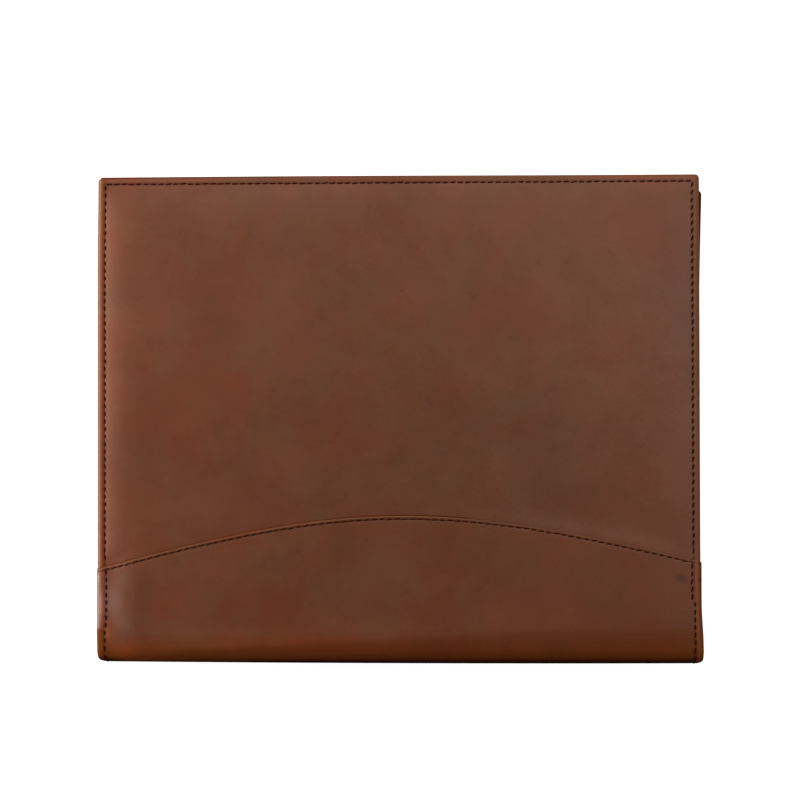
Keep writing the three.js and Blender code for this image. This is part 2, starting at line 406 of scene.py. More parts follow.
def climb(x, length):
    """Share of the full height that the front and the spine panel have reached, from the fold on."""
    stop = CLIMB_ENDS[0] + (CLIMB_ENDS[1] - CLIMB_ENDS[0]) * across_share(x)
    return smooth(np.abs(length), CLIMB_START, stop)


def calm_pillow(inset):
    """Rise of padding that the spine panel holds down: slow at first."""
    return 1 - np.exp(-((np.maximum(inset, 0) / CALM_RUN) ** 2))


def front_cushion(x, length):
    """Padding under the front's leather: fuller towards the left, and thinning out towards the fold."""
    swell = LEFT_SWELL + (RIGHT_SWELL - LEFT_SWELL) * smooth(across_share(x), 0, 1)
    inset = COVER_ROW_INSETS[-1][0]
    beside = HALF_COVER - np.abs(x) - inset
    free = smooth(length - seam_at(x), 0, CALM_FADE)
    spread = (calm_pillow(beside) * (1 - free) + pillow(beside) * free) * pillow(FRONT_EDGE - length - inset)
    return (swell + ripple(x, length)) * spread * climb(x, length)


def end_droop(x, length):
    """How far the spine panel's left end, and the cover's edge under it, hang down."""
    return DROOP * roll(HALF_PANEL + x, DROOP_WIDTH) * smooth(length, *DROOP_LENGTHS)


def back_cushion(x, length):
    """Padding under the back's leather, which its own weight presses flat."""
    seam = length - seam_at(x) - STEP_TOP
    spread = away(HALF_COVER - np.abs(x), SWELL_RUN) * away(BACK_EDGE - length, SWELL_RUN)
    return BACK_SWELL * spread * away(seam, SWELL_RUN)


def step_fill(x, length):
    """Rise of a cover beside the seam that makes it flush with the spine panel."""
    return STEP_FILL * smooth(x, *STEP_FILL_START) * (1 - smooth(length - seam_at(x), 0, STEP_FILL_RUN))


def under_panel(x, length):
    return length < seam_at(x) + (STEP_FOOT + STEP_TOP) / 2 * seam_gap(x)


def cover_level(x, length, edge, cushion):
    """A padded cover with rolled edges and stitched borders; its length counts up from the fold."""
    inset = border_inset(HALF_COVER - np.abs(x), edge - length)
    level = COVER_LEVEL + cushion + step_fill(x, length) - EDGE_DROP * roll(inset, EDGE_RADIUS)
    level = level - cover_grooves(x, length, edge, groove)
    return np.where(under_panel(x, length), FLANGE_LEVEL + cushion, level)


def front_level(x, length):
    level = cover_level(x, length, FRONT_EDGE, front_cushion(x, length))
    return level - np.where(under_panel(x, length), end_droop(x, length), 0)


def back_level(x, length):
    return np.minimum(cover_level(x, -length, BACK_EDGE, back_cushion(x, -length)), PANEL_LEVEL)


def panel_inner_level(x, length):
    """Inner face of the spine panel: close to the fold, and up over the covers on either side."""
    rise = (PANEL_SEAT - INNER_LEVEL) * smooth(np.abs(length), RAMP_START, RAMP_END)
    return INNER_LEVEL + rise + np.where(length > 0, front_cushion(x, length), 0) - end_droop(x, length)


def panel_level(x, length):
    """Outer face of the spine panel, climbing gently from the fold to the arched seams."""
    rise = (PANEL_SEAT - INNER_LEVEL) * climb(x, length)
    level = INNER_LEVEL + PANEL_THICKNESS + rise + np.where(length > 0, front_cushion(x, length), 0)
    ends = np.minimum(panel_half_width(-1, length) + x, panel_half_width(1, length) - x)
    cut = seam_at(x) - np.abs(length)
    level = level - np.maximum(EDGE_DROP * roll(ends, EDGE_RADIUS), CUT_DROP * roll(cut, CUT_RADIUS))
    level = level - panel_grooves(x, length, groove) - end_droop(x, length)
    bow = FOLD_BOW * (1 - 2 * (x / HALF_PANEL) ** 2)
    level = level + bow * (1 - smooth(np.abs(length), 0, HINGE_LENGTH))
    return np.where(length < -BEND_LENGTH, np.minimum(level, PANEL_LEVEL), level)


def under_level(x, length, edge, half_width):
    """Inner face of a cover, turned up a little along its edges."""
    inset = border_inset(half_width - np.abs(x), edge - np.abs(length))
    return INNER_LEVEL + UNDER_DROP * roll(inset, UNDER_RADIUS)


# Meshes: closed sheets on a grid that is fine along the stitching and coarse elsewhere

STRIP_INSETS = np.array(
    [0, 0.1, 0.3, 0.6, 1.0, 1.5, 2.0, 2.4, 2.75, 3.1, 3.4, 3.7, 4.0, 4.35, 4.75, 5.3, 6.2, 7.4, 9.0]
)
SEAM_INSETS = np.array([0, 0.1, 0.25, 0.45, 0.7, 1.0, 1.3, 1.6, 1.95, 2.4, 3.0, 4.0, 5.5, 7.5])
STEP_ROWS = np.array([0, 0.4, 0.9, 1.6, 2.6, 4.0, 6.0])  # a cover's rows, from the step at the seam
FOLD_MARGIN = 2.0  # the rows round the fold go this far past the hinge
SHARP_ANGLE = math.radians(55)
UNDER_RING = 3  # which strip inset carries the inner face's rounding
UNDER_COLUMN_STEP = 4  # the inner face keeps every fourth coarse column and every third row
UNDER_ROW_STEP = 3
# Finishes of the leather are numbered from 0, full gloss, to DULL
QUARTER_DULL = 2
HALF_DULL = 4
DULL = 8
GROOVE_EDGE = 0.25  # a row of stitches is dull where its closeness is more than this


def columns_across(count):
    """Insets and signed shares of the columns: a strip at each side and even shares between them."""
    strip = STRIP_INSETS[-1]
    inner = np.linspace(-1, 1, count + 1)[1:-1]
    inset = np.concatenate([STRIP_INSETS, np.full(count - 1, strip), STRIP_INSETS[::-1]])
    share = np.concatenate([np.full(len(STRIP_INSETS), -1.0), inner, np.full(len(STRIP_INSETS), 1.0)])
    return inset, share


def cells(ids, i_breaks, j_breaks):
    """Faces between the break lines, each with every vertex that lies on its outline."""
    faces = []
    for i0, i1 in zip(i_breaks[:-1], i_breaks[1:]):
        for j0, j1 in zip(j_breaks[:-1], j_breaks[1:]):
            ring = [ids[i, j0] for i in range(i0, i1)]
            ring += [ids[i1, j] for j in range(j0, j1)]
            ring += [ids[i, j1] for i in range(i1, i0, -1)]
            ring += [ids[i0, j] for j in range(j1, j0, -1)]
            faces.append([v for v in ring if v >= 0])
    return faces


def numbered(used, first):
    """Vertex numbers on a grid, and -1 where there is none."""
    ids = np.full(used.shape, -1)
    ids[used] = np.arange(used.sum()) + first
    return ids


def outline(used):
    """Grid places round the edge of a grid, in order."""
    last_i, last_j = used.shape[0] - 1, used.shape[1] - 1
    ring = [(i, 0) for i in range(last_i)] + [(last_i, j) for j in range(last_j)]
    ring += [(i, last_j) for i in range(last_i, 0, -1)] + [(0, j) for j in range(last_j, 0, -1)]
    return [place for place in ring if used[place]]


def closed_sheet(name, x, length, outer, inner, bands, step, bulge, marks, finish):
    """A closed sheet. bands are (first row, last row, fine across, row step); step is the coarse column step.

    bulge rounds its edges outwards, marks are named values over the grid for the material, and finish is the
    number of the material at each place. The walls and the inner face take the dullest one in use.
    """
    columns, rows = x.shape
    left, right = len(STRIP_INSETS) - 1, columns - len(STRIP_INSETS)
    coarse = list(range(left, right + 1, step))
    used = np.zeros(x.shape, bool)
    used[: left + 1] = True
    used[right:] = True
    for first, last, fine, row_step in bands:
        across = range(left, right + 1) if fine else coarse
        used[np.ix_(across, range(first, last + 1, row_step))] = True
    ends_i = {0, UNDER_RING, right, columns - 1 - UNDER_RING, columns - 1}
    under_i = sorted(ends_i.union(coarse[::UNDER_COLUMN_STEP]))
    row_breaks = sorted({j for first, last, _, row_step in bands for j in range(first, last + 1, row_step)})
    under_j = sorted({0, UNDER_RING, *row_breaks[::UNDER_ROW_STEP], rows - 1 - UNDER_RING, rows - 1})
    under = np.zeros(x.shape, bool)
    under[np.ix_(under_i, under_j)] = True
    for edge in (np.s_[0, :], np.s_[-1, :], np.s_[:, 0], np.s_[:, -1]):
        under[edge] = used[edge]
    top_ids = numbered(used, 0)
    under_ids = numbered(under, int(used.sum()))

    faces = []
    for first, last, fine, row_step in bands:
        every_row = range(first, last + 1)
        faces += cells(top_ids, range(left + 1), every_row)
        faces += cells(top_ids, range(right, columns), every_row)
        faces += cells(top_ids, range(left, right + 1) if fine else coarse, range(first, last + 1, row_step))
    vertex_finish = finish[used]
    face_finish = [vertex_finish[face].min() for face in faces]
    faces += [face[::-1] for face in cells(under_ids, under_i, under_j)]
    ring = outline(used)
    ring_i, ring_j = np.array(ring).T
    middle_ids = int(used.sum() + under.sum()) + np.arange(len(ring))
    for k, place in enumerate(ring):
        after = (k + 1) % len(ring)
        faces.append([top_ids[ring[after]], top_ids[place], middle_ids[k], middle_ids[after]])
        faces.append([middle_ids[after], middle_ids[k], under_ids[place], under_ids[ring[after]]])

    ring_x, ring_length = x[ring_i, ring_j], length[ring_i, ring_j]
    outward = bulge * ((ring_i == 0) - RIGHT_BULGE * (ring_i == columns - 1))
    past_hinge = np.abs(ring_length) > HINGE_LENGTH + 1
    forward = bulge * ((ring_j == rows - 1).astype(float) - (ring_j == 0))
    forward = forward * past_hinge * smooth(-ring_x, -HALF_COVER, HALF_COVER / 2)
    points = np.concatenate([
        point_at(x[used], length[used], outer[used]),
        point_at(x[under], length[under], inner[under]),
        point_at(
            ring_x - outward,
            ring_length + forward,
            (outer[ring_i, ring_j] + inner[ring_i, ring_j]) / 2,
        ),
    ])
    piece = new_piece(name, points, faces)
    face_finish += [finish.max()] * (len(faces) - len(face_finish))
    piece.data.polygons.foreach_set("material_index", np.array(face_finish, np.int32))
    for label, grid in marks.items():
        values = np.concatenate([grid[used], grid[under], grid[ring_i, ring_j]])
        attribute = piece.data.attributes.new(label, "FLOAT", "POINT")
        attribute.data.foreach_set("value", values.astype(np.float32))
    return piece


def new_piece(name, points, faces):
    mesh = bpy.data.meshes.new(name)
    mesh.from_pydata(points.tolist(), [], faces)
    mesh.validate()
    mesh.shade_smooth()
    mesh.set_sharp_from_angle(angle=SHARP_ANGLE)
    piece = bpy.data.objects.new(name, mesh)
    bpy.context.scene.collection.objects.link(piece)
    return piece


def between(start, stop, count):
    """Even rows between two lengths per column, without the last one."""
    shares = np.arange(count) / count
    return start[:, None] + (stop - start)[:, None] * shares


def crest(inset, rim):
    """The top of a rim: 1 on it, 0 beside it."""
    start, full, falls, stop = rim
    return smooth(inset, start, full) * (1 - smooth(inset, falls, stop))


def rim_wear_and_highlight(inset, x, rim):
    """How far the top of a rim is painted paler, as wear and as a painted highlight: most at the right."""
    return (RIM_LEFT + (1 - RIM_LEFT) * across_share(x)) * crest(inset, rim)


def lip_strength(x):
    """How clearly the panel's cut edge stands out as paler, partly as a painted highlight: most in the
    middle.
    """
    return smooth(x, *LIP_RISE) * (1 - FILLED_LOSS * smooth(x, *STEP_FILL_START))


def cover_sheet(name, edge, level, sign, count, step, rows):
    """A cover from its hinge edge, under the panel, to its free edge."""
    inset, share = columns_across(count)
    x = share * (HALF_COVER - inset)
    own_edge = edge - corner_pull(HALF_COVER - np.abs(x), CORNER_RADIUS)
    seam = seam_at(x)
    hinge = np.full_like(x, HINGE_LENGTH)
    foot = seam + STEP_FOOT * seam_gap(x)
    start = seam + STEP_TOP * seam_gap(x)
    strip = STRIP_INSETS[-1]
    length = np.concatenate([
        between(hinge, foot, 1),
        foot[:, None],
        start[:, None] + STEP_ROWS,
        between(start + strip, own_edge - strip, rows),
        own_edge[:, None] - STRIP_INSETS[::-1],
    ], axis=1)
    first = 2 + len(STEP_ROWS)
    bands = [
        (0, first, False, 1),
        (first, first + rows, False, step),
        (first + rows, length.shape[1] - 1, True, 1),
    ]
    grid_x = np.broadcast_to(x[:, None], length.shape)
    if sign < 0:
        last = length.shape[1] - 1
        length = -length[:, ::-1]
        bands = [(last - b, last - a, fine, row_step) for a, b, fine, row_step in bands[::-1]]
    inset = border_inset(HALF_COVER - np.abs(grid_x), edge - np.abs(length))
    pale, pale_start, pale_stop = LEFT_EDGE_HIGHLIGHT
    side_wear_and_highlight = rim_wear_and_highlight(HALF_COVER - np.abs(grid_x), grid_x, COVER_RIM)
    end_wear_and_highlight = END_RIM_WEAR_AND_HIGHLIGHT * smooth(np.abs(grid_x), *END_RIM) * crest(edge - np.abs(length), COVER_RIM)
    # stitch: painted shade along the rows and beside the step up to the panel; rim: wear with a painted
    # highlight on the crests; lip: a painted highlight down the left edge
    marks = {
        "stitch": np.maximum(cover_grooves(grid_x, length, edge, closeness), step_shade(grid_x, length)),
        "rim": np.maximum(side_wear_and_highlight, end_wear_and_highlight),
        "lip": pale * (1 - smooth(HALF_COVER + grid_x, pale_start, pale_stop)),
        "fold": np.zeros_like(length),
        "worn": np.zeros_like(length),
    }
    inner = under_level(grid_x, length, edge, HALF_COVER)
    outer = level(grid_x, length)
    rubbed = (HALF_COVER - np.abs(grid_x) < RUBBED_EDGE) | (grid_x + HALF_COVER < RUBBED_BORDER)
    finish = np.where(rubbed, HALF_DULL, np.where(inset < RUBBED_EDGE, QUARTER_DULL, 0))
    finish = np.where(marks["stitch"] > GROOVE_EDGE, DULL, finish)
    return closed_sheet(name, grid_x, length, outer, inner, bands, step, EDGE_BULGE, marks, finish)


def spine_sheet(name, count, step):
    """The spine panel, from the back's arched seam round the fold to the front's."""
    inset, share = columns_across(count)
    straight = share * (HALF_PANEL - inset)
    seam = seam_at(straight)
    fold_rows, ramp_rows = 44, 48
    fold_end = np.full_like(seam, HINGE_LENGTH + FOLD_MARGIN)
    half = np.concatenate([
        between(np.zeros_like(seam), fold_end, fold_rows),
        between(fold_end, seam - SEAM_INSETS[-1], ramp_rows),
        seam[:, None] - SEAM_INSETS[::-1],
    ], axis=1)
    length = np.concatenate([-half[:, :0:-1], half], axis=1)
    strip = len(SEAM_INSETS) - 1
    breaks = np.cumsum([0, strip, ramp_rows, 2 * fold_rows, ramp_rows, strip])
    kinds = [(True, 1), (False, 4), (False, 2), (False, 4), (True, 1)]
    bands = [(a, b, *kind) for a, b, kind in zip(breaks[:-1], breaks[1:], kinds)]
    left, right = panel_half_width(-1, length), panel_half_width(1, length)
    x = share[:, None] * (np.where(share[:, None] < 0, left, right) - inset[:, None])
    cut = seam_at(x) - np.abs(length)
    start, stop = RUBBED_SHOULDERS
    longer, near_end, far = RUBBED_END
    shoulder = start + (stop - start) * across_share(x) + longer * (1 - smooth(left + x, near_end, far))
    worn = 1 - np.clip((np.abs(length) - RUBBED_FOLD) / (shoulder - RUBBED_FOLD), 0, 1)
    lip = 1 - smooth(cut, *LIP_WIDTH)
    # Painted shade on the cut edge, fading out towards the right
    cut_shade = CUT_SHADE * lip * (1 - smooth(x, *CUT_SHADE_FALL))
    rows_shade = np.maximum(panel_grooves(x, length, closeness), seam_shade(x, length))
    # stitch: painted shade along the rows, in the seam's groove and on the cut edge; rim: wear with a painted
    # highlight; lip: the pale cut edge, partly painted highlight; fold: painted shade; worn: where the wax
    # bloom and painted sheen are left out
    marks = {
        "stitch": np.maximum(rows_shade, cut_shade),
        "rim": rim_wear_and_highlight(np.minimum(left + x, right - x), x, PANEL_RIM),
        "lip": lip * lip_strength(x),
        "fold": 1 - smooth(np.abs(length) + FOLD_SHADE_SHIFT * across_share(x), *FOLD_SHADE),
        "worn": np.maximum(smooth(worn, 0, 1), smooth(x, *CLEAN_RIGHT)),
    }
    outer, inner = panel_level(x, length), panel_inner_level(x, length)
    finish = np.round(worn * DULL).astype(int)
    finish = np.where(right - x < RUBBED_EDGE, np.maximum(finish, HALF_DULL), finish)
    corner = (left + x < RUBBED_CORNER[0]) & (np.abs(length) < RUBBED_CORNER[1])
    finish = np.where(corner | (right - x < RUBBED_RIM) | (marks["stitch"] > GROOVE_EDGE), DULL, finish)
    return closed_sheet(name, x, length, outer, inner, bands, step, EDGE_BULGE / 2, marks, finish)


def lining_sheet(name, count, step):
    """The lining, from the back cover's free edge round the fold to the front cover's."""
    half_width = HALF_COVER - LINING_INSET
    inset, share = columns_across(count)
    straight = share * (half_width - inset)
    pull = corner_pull(half_width - np.abs(straight), CORNER_RADIUS) + LINING_INSET
    fold_rows, cover_rows = 24, 60
    zero = np.zeros_like(straight)
    bend_end = zero + BEND_LENGTH + 1
    halves = []
    for edge in (BACK_EDGE, FRONT_EDGE):
        halves.append(np.concatenate([
            between(zero, bend_end, fold_rows),
            between(bend_end, edge - pull - STRIP_INSETS[-1], cover_rows),
            (edge - pull)[:, None] - STRIP_INSETS[::-1],
        ], axis=1))
    length = np.concatenate([-halves[0][:, :0:-1], halves[1]], axis=1)
    x = share[:, None] * (rounded_half_width(half_width, length, -1) - inset[:, None])
    edge = np.where(length > 0, FRONT_EDGE, BACK_EDGE) - LINING_INSET
    turned = LINING_TURN * roll(border_inset(half_width - np.abs(x), edge - np.abs(length)), UNDER_RADIUS)
    last = length.shape[1] - 1
    strip = len(STRIP_INSETS) - 1
    bands = [(0, strip, False, 3), (strip, last - strip, False, 2), (last - strip, last, False, 3)]
    finish = np.zeros(x.shape, int)
    return closed_sheet(name, x, length, -turned, turned - LINING_THICKNESS, bands, step, 0.0, {}, finish)


# Stitches: short bowed threads whose ends dive into the leather

THREAD_RINGS = 9
THREAD_SIDES = 8
THREAD_TAPER = 0.75
THREAD_LIFT = 0.16  # of a thread's middle above the leather; its ends dive from there
THREAD_DIVE = 0.5
SEAM_SAMPLES = 4001


def stitch_mesh(name, places):
    """One mesh of threads. places are (x, length, direction of the row, stitch style, level function)."""
    turn = np.linspace(-1, 1, THREAD_RINGS)
    around = np.arange(THREAD_SIDES) * 2 * math.pi / THREAD_SIDES
    taper = np.sqrt(1 - THREAD_TAPER * turn**6)
    lift = THREAD_LIFT - THREAD_DIVE * turn**4
    points, faces = [], []
    for x, length, direction, (stitch_length, slant, radius), level in places:
        reach = stitch_length / 2 * (1 + RNG.normal(0, STITCH_UNEVEN))
        aim = direction + math.radians(slant + RNG.normal(0, SLANT_WANDER))
        stray = STITCH_WANDER * RNG.normal()
        path_x = x - stray * math.sin(direction) + turn * reach * math.cos(aim)
        path_length = length + stray * math.cos(direction) + turn * reach * math.sin(aim)
        height = level(path_x, path_length) - PRESSED * (path_length < 0)
        centre = point_at(path_x, path_length, height + lift)
        normal = point_at(path_x, path_length, height + lift + 1) - centre
        normal = normal / np.linalg.norm(normal, axis=1, keepdims=True)
        tangent = np.gradient(centre, axis=0)
        aside = np.cross(tangent, normal)
        aside = aside / np.linalg.norm(aside, axis=1, keepdims=True)
        ring = aside[:, None] * np.cos(around)[:, None] + normal[:, None] * np.sin(around)[:, None]
        first = len(points) * THREAD_RINGS * THREAD_SIDES
        points.append(centre[:, None] + ring * (radius * taper * MM)[:, None, None])
        for k in range(THREAD_RINGS - 1):
            for m in range(THREAD_SIDES):
                a = first + k * THREAD_SIDES + m
                b = first + k * THREAD_SIDES + (m + 1) % THREAD_SIDES
                faces.append([a, b, b + THREAD_SIDES, a + THREAD_SIDES])
        end = first + (THREAD_RINGS - 1) * THREAD_SIDES
        faces.append([first + m for m in range(THREAD_SIDES)][::-1])
        faces.append([end + m for m in range(THREAD_SIDES)])
    return new_piece(name, np.concatenate(points).reshape(-1, 3), faces)


def cover_stitches(edge, level, sign):
    """Places round a cover's three stitched borders."""
    places = []
    for side in SIDES:
        _, stop = corner_of(side, edge)
        run = np.arange(stop - STITCH_PITCH / 2, 0, -STITCH_PITCH)
        xs = cover_row(side, run, edge)
        for x, length in zip(xs, run):
            if length > seam_at(x) + ROW_CLEARANCE:
                places.append((x, sign * length, math.pi / 2, SIDE_STITCHES[side], level))
    pitch, left = end_pitch(edge)
    right = corner_of(1, edge)[0]
    for x in np.arange(left + pitch / 2, right, pitch):
        places.append((x, sign * end_row(x, edge), 0, END_STITCHES, level))
    return places


def panel_side_stitches():
    """Places down both ends of the spine panel, round the fold."""
    places = []
    for sign, edge in ((1, FRONT_EDGE), (-1, BACK_EDGE)):
        for side in SIDES:
            _, stop = corner_of(side, edge)
            run = np.arange(stop - STITCH_PITCH / 2, 0, -STITCH_PITCH)
            xs = panel_row(side, run)
            for x, length in zip(xs, run):
                if STITCH_PITCH / 2 < length < seam_at(x) - ROW_CLEARANCE:
                    places.append((x, sign * length, math.pi / 2, PANEL_STITCHES[side], panel_level))
    return places


def seam_stitches(sign):
    """Places along an arched seam."""
    places = []
    xs = np.linspace(-HALF_COVER, HALF_COVER, SEAM_SAMPLES)
    run = seam_run(xs)
    steps = np.arange(-SEAM_HALF_COUNT, SEAM_HALF_COUNT + 1) * STITCH_PITCH
    steps = steps[(steps > run[0] + SEAM_CLEARANCE) & (steps < run[-1] - SEAM_CLEARANCE)]
    for x in np.interp(steps, run, xs):
        slope = (seam_at(x + 0.5) - seam_at(x - 0.5)) * sign
        places.append((x, sign * (seam_at(x) - SEAM_ROW_INSET), math.atan(slope), SEAM_STITCHES, panel_level))
    return places


# Materials

def linear(red, green, blue):
    """A colour given by its display values from 0 to 255."""
    shares = np.array([red, green, blue]) / 255
    values = np.where(shares <= 0.04045, shares / 12.92, ((shares + 0.055) / 1.055) ** 2.4)
    return (*values.tolist(), 1.0)


class Nodes:
    """Adds shader nodes to a material; an input that is a socket is linked, and any other is set."""

    def __init__(self, name):
        self.material = bpy.data.materials.new(name)
        self.material.use_nodes = True
        self.tree = self.material.node_tree
        self.shader = self.tree.nodes["Principled BSDF"]

    def put(self, node, inputs):
        for key, value in inputs.items():
            if isinstance(value, bpy.types.NodeSocket):
                self.tree.links.new(value, node.inputs[key])
            else:
                node.inputs[key].default_value = value

    def add(self, kind, inputs, **settings):
        node = self.tree.nodes.new("ShaderNode" + kind)
        for key, value in settings.items():
            setattr(node, key, value)
        self.put(node, inputs)
        return node

    def coords(self):
        return self.add("TexCoord", {}).outputs["Object"]

    def attribute(self, name):
        return self.add("Attribute", {}, attribute_name=name).outputs["Fac"]

    def noise(self, place, scale, detail=3.0, roughness=0.55, distortion=0.0):
        inputs = {"Vector": place, "Scale": scale, "Detail": detail}
        inputs |= {"Roughness": roughness, "Distortion": distortion}
        return self.add("TexNoise", inputs).outputs["Fac"]

    def math(self, operation, a, b=0.0, c=1.0):
        return self.add("Math", {0: a, 1: b, 2: c}, operation=operation).outputs[0]

    def ramp(self, value, low, high, to_low=0.0, to_high=1.0):
        inputs = {"Value": value, "From Min": low, "From Max": high, "To Min": to_low, "To Max": to_high}
        return self.add("MapRange", inputs, interpolation_type="SMOOTHSTEP").outputs["Result"]

    def mix(self, share, a, b, blend="MIX"):
        node = self.add("Mix", {0: share, 6: a, 7: b}, data_type="RGBA", blend_type=blend)
        return node.outputs[2]

    def moved(self, place, offset):
        return self.add("Mapping", {"Vector": place, "Location": offset}).outputs["Vector"]

    def spot(self, place, centre, radii, turn):
        """1 at the middle of a soft oval mark and 0 outside it; the turn is in degrees."""
        inputs = {
            "Vector": place,
            "Location": (centre[0] * MM, centre[1] * MM, 0),
            "Rotation": (0, 0, math.radians(turn)),
            "Scale": (radii[0] * MM, radii[1] * MM, 1),
        }
        oval = self.add("Mapping", inputs, vector_type="TEXTURE").outputs["Vector"]
        reach = self.add("VectorMath", {0: oval}, operation="LENGTH").outputs["Value"]
        return self.ramp(reach, 0.0, 1.0, 1.0, 0.0)

    def bump(self, height, strength, distance, normal=None):
        inputs = {"Height": height, "Strength": strength, "Distance": distance}
        if normal is not None:
            inputs["Normal"] = normal
        return self.add("Bump", inputs).outputs["Normal"]


LEATHER_RED = linear(90, 41, 18)
LEATHER_OLIVE = linear(85, 43, 17)
LEATHER_DARK = linear(38, 14, 5)
LEATHER_FOLD_SHADE = linear(28, 11, 6)
LEATHER_PALE = linear(122, 88, 70)
LEATHER_RIM = linear(122, 66, 40)
LEATHER_BLOOM_AND_SHEEN = linear(108, 88, 70)
LEATHER_SHEEN = linear(112, 88, 84)
PANEL_SHADE = 1.05  # the spine panel's leather against the covers'
# The marks on the meshes that tint the leather, mostly painted shade and painted highlights: how strongly,
# and with which colour
TINTS = [
    # painted shade along the rows of stitches, beside the step up to the panel and on the cut edge
    ("stitch", 0.5, LEATHER_DARK),
    # painted shade along the fold
    ("fold", 0.95, LEATHER_FOLD_SHADE),
    # the spine panel's pale cut edge, partly painted highlight, and a painted highlight down the covers' left
    # edge
    ("lip", 0.14, LEATHER_PALE),
    # wear along the rims, with a painted highlight on their crests
    ("rim", 0.44, LEATHER_RIM),
]

# Stains, scuffs, painted light and painted shade on the front and on the spine panel: middle, half length and
# half width, turn of the length, shade
FRONT_MARKS_AND_LIGHT = [
    # painted shade under the free edge's row at the left and painted light at the right; darker over the
    # lower middle; then dark spots and pale scuffs
    ((-100, 122.5), (38, 6), 0, 0.86),
    ((138, 123.5), (36, 6), 0, 1.14),
    ((10, -35), (150, 120), 0, 0.88),
    ((-15.4, 112.8), (2.2, 1.6), 0, 0.72),
    ((2, 104.8), (1.8, 1.4), 30, 0.75),
    ((-19.2, 100.7), (9, 0.8), 88, 1.16),
    ((-34.7, -8.1), (3.5, 1), 70, 1.12),
    ((-101.6, -49.3), (8, 0.8), 90, 1.1),
]
PANEL_MARKS_AND_LIGHT = [
    # darker over the middle; then pale scuffs, a dark stain and a dark nick
    ((0, -75), (140, 60), 0, 0.86),
    ((-62.4, -85.2), (10, 1), 88, 1.16),
    ((45.8, -88.1), (7, 1), 35, 1.14),
    ((-33.8, -105.1), (6, 3), 20, 1.2),
    ((89.8, -99.6), (5, 2.5), 10, 1.18),
    ((147.8, -83), (6, 3), -20, 0.58),
    ((157.2, -83.8), (2, 1.5), 0, 0.15),
    # painted shade on the right end's outer edge, painted light at the lower right, painted highlights by the
    # left stitches and on the left rim, painted shade on the left end and painted light along the left half
    # of the fold
    ((158.8, -82), (8, 1.4), 90, 0.5),
    ((148, -108), (26, 30), 0, 1.1),
    ((-154.6, -112), (8, 2.6), 90, 1.75),
    ((-158, -97.5), (9.5, 1.7), 90, 2.0),
    ((-144, -99), (20, 36), 0, 0.72),
    ((-147, -113), (8, 10), 0, 0.88),
    ((-55, -117), (100, 14), 0, 1.16),
]
# Painted sheen on the spine panel: middle, half length and half width, turn, share of the sheen's colour
PANEL_SHEEN = [
    ((-152.5, -95), (8.5, 13.5), 0, 0.3),
    ((-158.2, -96.5), (11.5, 1.8), 90, 0.45),
]


def leather_material(name, offset, shade, spots, sheen_spots, gloss):
    """Waxed leather: cloudy tone, fine grain, painted shade along the stitching and the fold, paler along
    edges as wear and painted highlights, painted sheen in places.
    """
    n = Nodes(name)
    flat = n.add("SeparateXYZ", {0: n.coords()}).outputs
    level = n.add("CombineXYZ", {0: flat["X"], 1: flat["Y"]}).outputs[0]
    place = n.moved(n.coords(), offset)
    clouds = n.noise(place, 38.0, 4.0, 0.55, 0.3)
    patches = n.noise(n.moved(place, (0.4, 0.1, 0.7)), 16.0, 9.0, 0.75, 0.2)
    colour = n.mix(n.ramp(clouds, 0.3, 0.7), LEATHER_RED, LEATHER_OLIVE)
    tone = n.ramp(patches, 0.25, 0.75, 0.86 * shade, 1.14 * shade)
    for centre, radii, turn, mark in spots:
        change = n.math("MULTIPLY_ADD", n.spot(level, centre, radii, turn), mark - 1)
        tone = n.math("MULTIPLY", tone, change)
    colour = n.mix(1.0, colour, tone, "MULTIPLY")
    # Wax bloom, which also stands in for sheen: partly painted sheen, left out where the leather is worn
    wax = n.noise(n.moved(place, (2.3, 0.6, 0.2)), 22.0, 9.0, 0.75, 0.2)
    kept = n.math("SUBTRACT", 1.0, n.attribute("worn"))
    bloom_and_sheen = n.math("MULTIPLY", n.ramp(wax, 0.37, 0.63, 0.0, 0.11), kept)
    colour = n.mix(bloom_and_sheen, colour, LEATHER_BLOOM_AND_SHEEN)
    # Painted sheen in spots
    for centre, radii, turn, share in sheen_spots:
        colour = n.mix(n.math("MULTIPLY", n.spot(level, centre, radii, turn), share), colour, LEATHER_SHEEN)
    flecks = n.ramp(n.noise(n.moved(place, (0.9, 1.2, 0.4)), 150.0, 3.0, 0.6, 0.6), 0.6, 0.78, 0.0, 0.22)
    colour = n.mix(flecks, colour, LEATHER_DARK)
    for mark, share, tint in TINTS:
        colour = n.mix(n.math("MULTIPLY", n.attribute(mark), share), colour, tint)
    grain = n.add("TexVoronoi", {"Vector": place, "Scale": 1100.0}, feature="SMOOTH_F1").outputs["Distance"]
    creases = n.noise(place, 300.0, 5.0, 0.6, 0.8)
    normal = n.bump(grain, 0.12, 0.0002)
    normal = n.bump(creases, 0.09, 0.0006, normal)
    burnish = n.math("MULTIPLY", n.attribute("fold"), 0.5)
    roughness = n.math("ADD", n.ramp(clouds, 0.3, 0.7, 0.44, 0.5), burnish)
    n.put(n.shader, {"Base Color": colour, "Roughness": roughness, "Normal": normal})
    n.put(n.shader, {"Specular IOR Level": gloss})
    return n.material


def thread_material():
    """Waxed dark thread with a fibrous surface."""
    n = Nodes("waxed_thread")
    fibres = n.noise(n.coords(), 3200.0, 3.0)
    colour = n.mix(n.ramp(fibres, 0.3, 0.7), linear(24, 6, 2), linear(46, 13, 5))
    n.put(n.shader, {"Base Color": colour, "Roughness": 0.9, "Normal": n.bump(fibres, 0.3, 0.0002)})
    n.put(n.shader, {"Specular IOR Level": 0.02})
    return n.material


